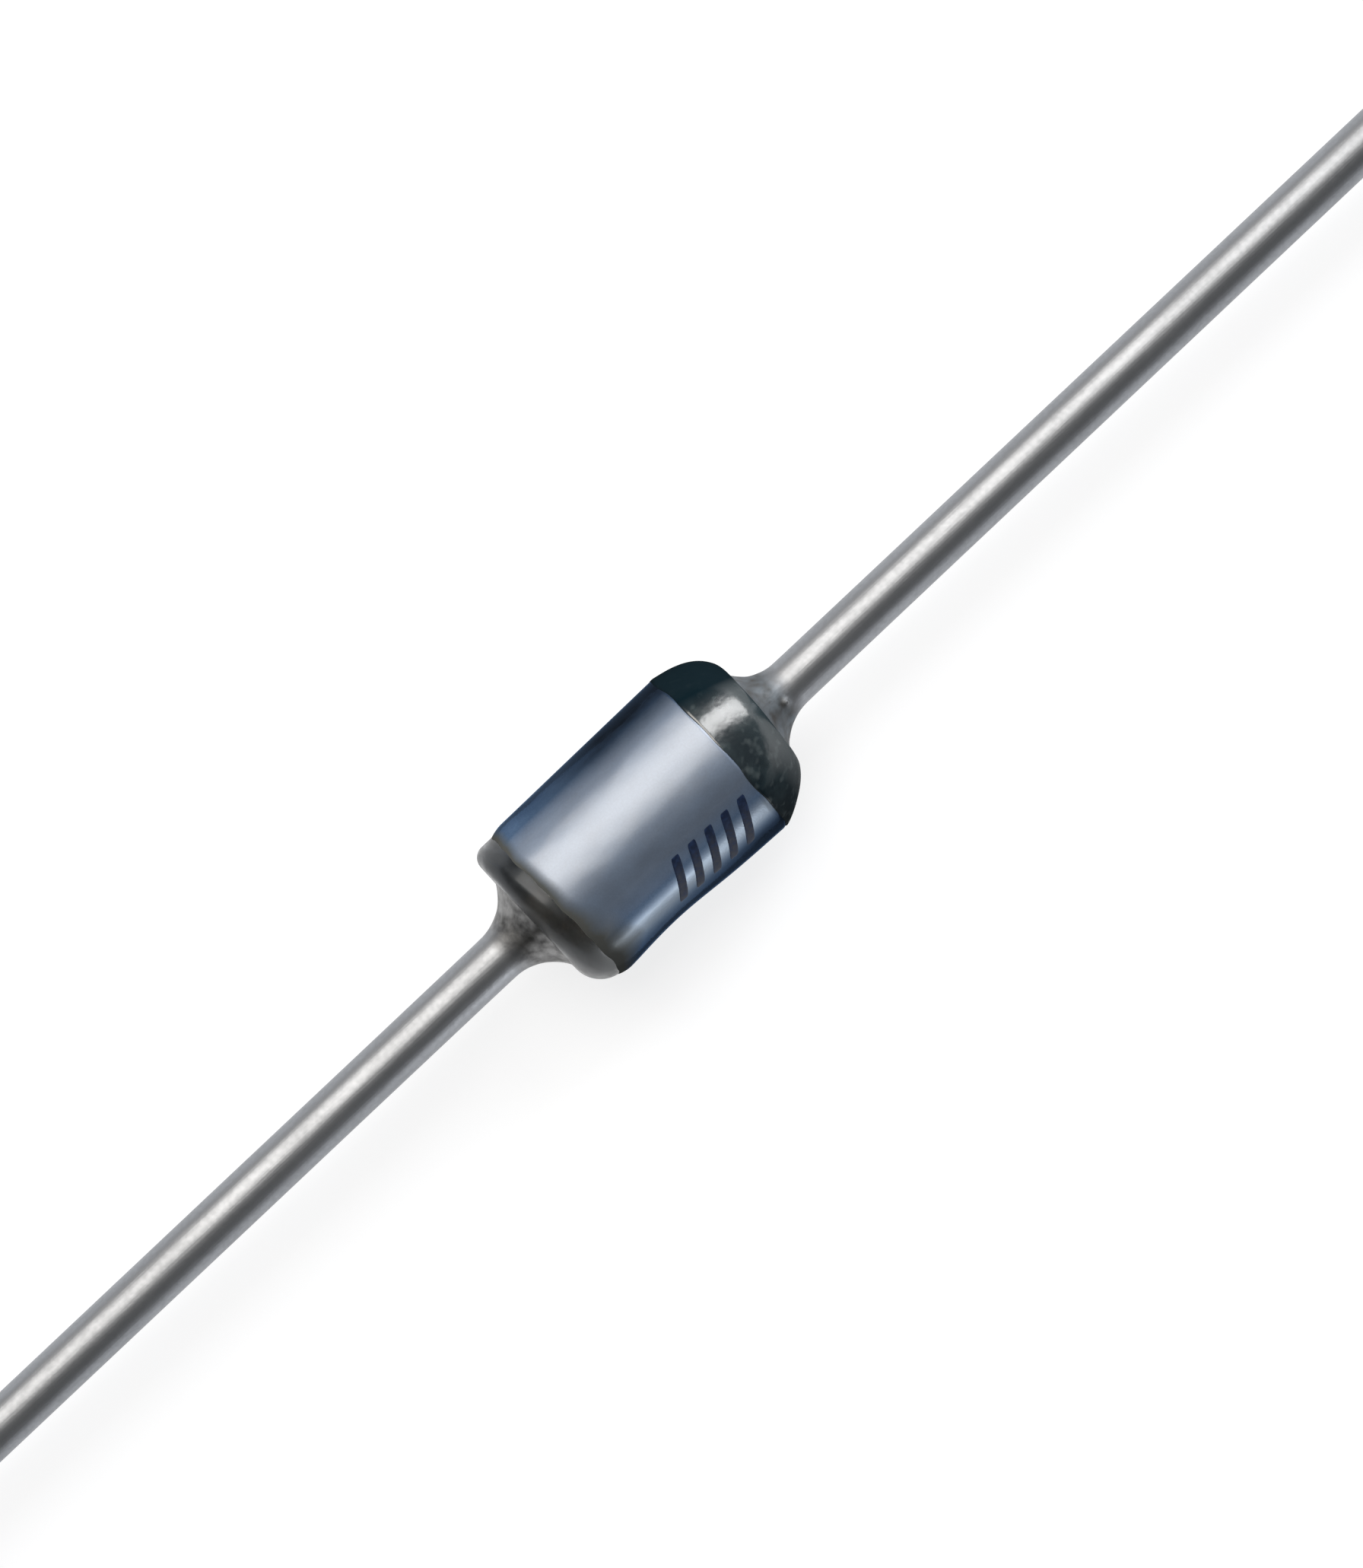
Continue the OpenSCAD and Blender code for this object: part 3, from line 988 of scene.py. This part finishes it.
class DIODE_OT_printed_bars(bpy.types.Operator):
    """Makes a row of plain slanted bars, printed on the lacquer"""

    bl_idname = "diode.printed_bars"
    bl_label = "Printed Bars"

    def execute(self, context):
        """Equal bars at even steps along X, in one mesh."""
        sizes = context.scene.diode_sizes
        turn = turn_angles(64)
        tilt = np.linspace(-RIGHT_ANGLE, RIGHT_ANGLE, 30)[:, None]
        vertices, faces = np.zeros((0, 3)), []
        for middle in np.linspace(*BAR_PLACES, BAR_COUNT):
            points = self.pillow(sizes, middle, turn, tilt)
            more, new_faces = solid_mesh(points[1:-1], points[[0, -1], 0], first=len(vertices))
            faces += new_faces
            vertices = np.concatenate((vertices, more))
        add_piece("printed_bars", vertices, faces, ink_finish(context.scene.diode_colours))
        return {"FINISHED"}

    def pillow(self, sizes, middle, turn, tilt):
        """A flat rounded box wrapped round the lacquer: an ellipsoid with its sines bent to a square.

        The turn goes round the bar's outline and the tilt from its inside to its outside. Across the bar,
        X also leans with the height, and the height is laid round the body as an angle.
        """

        def squared(value, power):
            """A power of the value's size, with the value's sign."""
            return np.sign(value) * np.abs(value) ** power

        spread = squared(np.cos(tilt), BAR_SQUARE)
        across = spread * squared(np.cos(turn), BAR_SQUARE)
        up = spread * squared(np.sin(turn), BAR_SQUARE)
        x = middle + 0.5 * sizes.ink_width * across + 0.5 * sizes.ink_slant * up
        angle = math.radians(BAR_TURN) - 0.5 * sizes.ink_height / LACQUER_R * up
        lift = sizes.lacquer_depth + sizes.ink_depth * squared(np.sin(tilt), BAR_FLAT)
        return rings(section_of(x, glass_radius(sizes, x, angle) + lift, turn), angle)


class DIODE_OT_sealed_pieces(bpy.types.Operator):
    """Makes the slugs, which end where the glass does, and the bump, and gives the chip its finish"""

    bl_idname = "diode.sealed_pieces"
    bl_label = "Slugs and Chip"

    def execute(self, context):
        """Adds the slugs and the bump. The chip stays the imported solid."""
        colours = context.scene.diode_colours
        angle = turn_angles(96)
        self.add_slugs(context.scene.diode_sizes, slug_finish(colours), angle)
        self.add_bump(silver_finish(colours), angle)
        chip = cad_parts["zener_die"]
        chip.data.materials.clear()
        chip.data.materials.append(silicon_finish(colours))
        return {"FINISHED"}

    def add_slugs(self, sizes, finish, angle):
        """Round rods. The end of the cathode's one follows the dome."""
        for node in ("anode_slug", "cathode_slug"):
            start, end, radius = reach(node)
            radius += BITE
            if node == "cathode_slug":
                end = dome_place(sizes, radius, angle)
            profile = joined(
                line((0.0, POLE_RING * radius), (0.0, radius), 8),
                line((0.0, radius), (1.0, radius), 24),
                line((1.0, radius), (1.0, POLE_RING * radius), 8),
            )
            x = start + profile[:, :1] * (end - start)
            points = rings(section_of(x, profile[:, 1:], angle), angle)
            add_piece("copper_" + node, *solid_mesh(points), finish, "slug", (node,))

    def add_bump(self, finish, angle):
        """A flat button whose edge is a quarter circle towards the anode's slug."""
        edge = 0.5 * (BUMP_END - BUMP_START)
        profile = joined(
            line((BUMP_START, POLE_RING * BUMP_R), (BUMP_START, BUMP_R - edge), 6),
            arc(BUMP_START + edge, BUMP_R - edge, edge, math.pi, RIGHT_ANGLE, 12),
            line((BUMP_START + edge, BUMP_R), (BUMP_END, BUMP_R), 4),
            line((BUMP_END, BUMP_R), (BUMP_END, POLE_RING * BUMP_R), 6),
        )
        points = rings(section_of(profile[:, :1], profile[:, 1:], angle), angle)
        add_piece("silver_contact_bump", *solid_mesh(points), finish, "silver", ("contact_bump",))


def placed(place, right, up, back):
    """The matrix of an object at a place, with its own X, Y and Z along the three directions."""
    return Matrix.Translation(place) @ Matrix((right, up, back)).transposed().to_4x4()


class DIODE_OT_stage(bpy.types.Operator):
    """Sets the floor, the soft light and the camera"""

    bl_idname = "diode.stage"
    bl_label = "Studio Stage"

    def execute(self, context):
        """Lays the floor, lights the room and places the camera."""
        scene = context.scene
        studio = scene.diode_studio
        self.lay_floor(floor_finish(scene.diode_colours, studio.floor_glow))
        self.light_room(scene, studio)
        self.place_camera(scene, studio)
        scene.view_settings.view_transform = "Standard"
        return {"FINISHED"}

    def lay_floor(self, finish):
        """Bowl-shaped floor: flat under the diode, then rising as the cube of the distance from there."""
        out = np.concatenate(([FLOOR_HUB], np.geomspace(FLOOR_START, FLOOR_END, 60)))[:, None]
        rise = np.clip(out - FLOOR_FLAT, 0.0, None) ** 3
        out, rise, angle = np.broadcast_arrays(out, rise, turn_angles(128))
        points = np.stack((out * np.cos(angle), out * np.sin(angle), rise - BAND_R), axis=-1)
        count, turns = points.shape[:2]
        turn = np.arange(turns)
        hub = np.stack((np.full(turns, count * turns), turn, (turn + 1) % turns), axis=-1)
        faces = ring_faces(count, turns, looped=False)[:, ::-1].tolist() + hub.tolist()
        vertices = np.concatenate((points.reshape(-1, 3), [[0.0, 0.0, -BAND_R]]))
        floor = add_object("studio_floor", vertices, faces, finish)

    def light_room(self, scene, studio):
        """A softbox above, one off the cathode end and a small one low beside the body, in a dim room."""
        slope = studio.key_slope
        above = Vector((0.0, math.sin(slope), math.cos(slope)))
        place = SOFTBOX_AWAY * above
        self.add_softbox("key_softbox", place, above, UPRIGHT, KEY_SIZE, studio.key_radiance, KEY_TINT)
        place = SOFTBOX_AWAY * END_BACK
        self.add_softbox("end_softbox", place, END_BACK, END_TOP, END_SIZE, studio.end_radiance)
        away = Vector((0.0, -1.0, 0.0))
        self.add_softbox("edge_softbox", EDGE_PLACE, away, UPRIGHT, EDGE_SIZE, studio.edge_radiance)
        world = bpy.data.worlds.new("dim_room")
        world.use_nodes = True
        background = next(n for n in world.node_tree.nodes if n.type == "BACKGROUND")
        background.inputs["Color"].default_value = (1.0, 1.0, 1.0, 1.0)
        background.inputs["Strength"].default_value = studio.room_level
        scene.world = world

    def add_softbox(self, name, place, back, top, size, radiance, tint=(1.0, 1.0, 1.0)):
        """A rectangular lamp with its back to one direction and its top towards another.

        Its power is its radiance times pi times its area.
        """
        lamp = bpy.data.lights.new(name, "AREA")
        lamp.shape = "RECTANGLE"
        lamp.size, lamp.size_y = size
        lamp.energy = radiance * math.pi * size[0] * size[1]
        lamp.color = tint
        softbox = bpy.data.objects.new(name, lamp)
        side = top.cross(back).normalized()
        softbox.matrix_world = placed(place, side, back.cross(side), back)
        softbox.visible_camera = False
        bpy.context.scene.collection.objects.link(softbox)

    def place_camera(self, scene, studio):
        """Looks down on the diode, with the axis turned in the picture and the glass at its pixel."""
        turn, lean = studio.axis_turn, studio.lean
        right = Vector((math.cos(turn), -math.sin(turn), 0.0))
        level_up = Vector((math.sin(turn), math.cos(turn), 0.0))
        back = math.cos(lean) * UPRIGHT - math.sin(lean) * level_up
        up = back.cross(right)
        camera_data = bpy.data.cameras.new("camera")
        camera_data.sensor_width = SENSOR_WIDTH
        camera_data.lens = studio.lens
        camera_data.clip_start, camera_data.clip_end = 0.001, 10.0
        pixel = MM / PIXELS_PER_MM
        aside, below = (0.5 * whole - middle for whole, middle in zip(PICTURE, MIDDLE_PIXEL))
        aim = right * aside * pixel - up * below * pixel
        distance = PICTURE[1] * pixel * studio.lens / SENSOR_WIDTH
        camera = bpy.data.objects.new("camera", camera_data)
        camera.matrix_world = placed(aim + back * distance, right, up, back)
        scene.collection.objects.link(camera)
        scene.camera = camera


class DIODE_PT_sidebar(bpy.types.Panel):
    """Lists the diode's pieces and settings"""

    bl_idname = "DIODE_PT_sidebar"
    bl_label = "Glass Zener Diode"
    bl_space_type = "VIEW_3D"
    bl_region_type = "UI"
    bl_category = "Diode"

    def draw(self, context):
        """A button for each operator and a field for each setting."""
        column = self.layout.column(align=True)
        for operator in OPERATORS:
            column.operator(operator.bl_idname)
        for name in SETTINGS:
            group = getattr(context.scene, name)
            column = self.layout.column()
            for setting in group.__annotations__:
                column.prop(group, setting)


OPERATORS = (
    DIODE_OT_leads,
    DIODE_OT_weld_beads,
    DIODE_OT_glass,
    DIODE_OT_lacquer,
    DIODE_OT_band,
    DIODE_OT_printed_bars,
    DIODE_OT_sealed_pieces,
    DIODE_OT_stage,
)
SETTINGS = {"diode_sizes": DiodeSizes, "diode_colours": DiodeColours, "diode_studio": StudioSettings}


def register():
    """Registers the settings, the operators and the panel."""
    for settings in SETTINGS.values():
        bpy.utils.register_class(settings)
    for name, settings in SETTINGS.items():
        setattr(bpy.types.Scene, name, PointerProperty(type=settings))
    for made in (*OPERATORS, DIODE_PT_sidebar):
        bpy.utils.register_class(made)


def unregister():
    """Takes away what register added, in reverse order."""
    for made in reversed((*OPERATORS, DIODE_PT_sidebar)):
        bpy.utils.unregister_class(made)
    for name in SETTINGS:
        delattr(bpy.types.Scene, name)
    for settings in reversed(SETTINGS.values()):
        bpy.utils.unregister_class(settings)


def main():
    register()
    bpy.ops.diode.leads()
    bpy.ops.diode.weld_beads()
    bpy.ops.diode.glass()
    bpy.ops.diode.lacquer()
    bpy.ops.diode.band()
    bpy.ops.diode.printed_bars()
    bpy.ops.diode.sealed_pieces()
    bpy.ops.diode.stage()


if __name__ == "__main__":
    main()
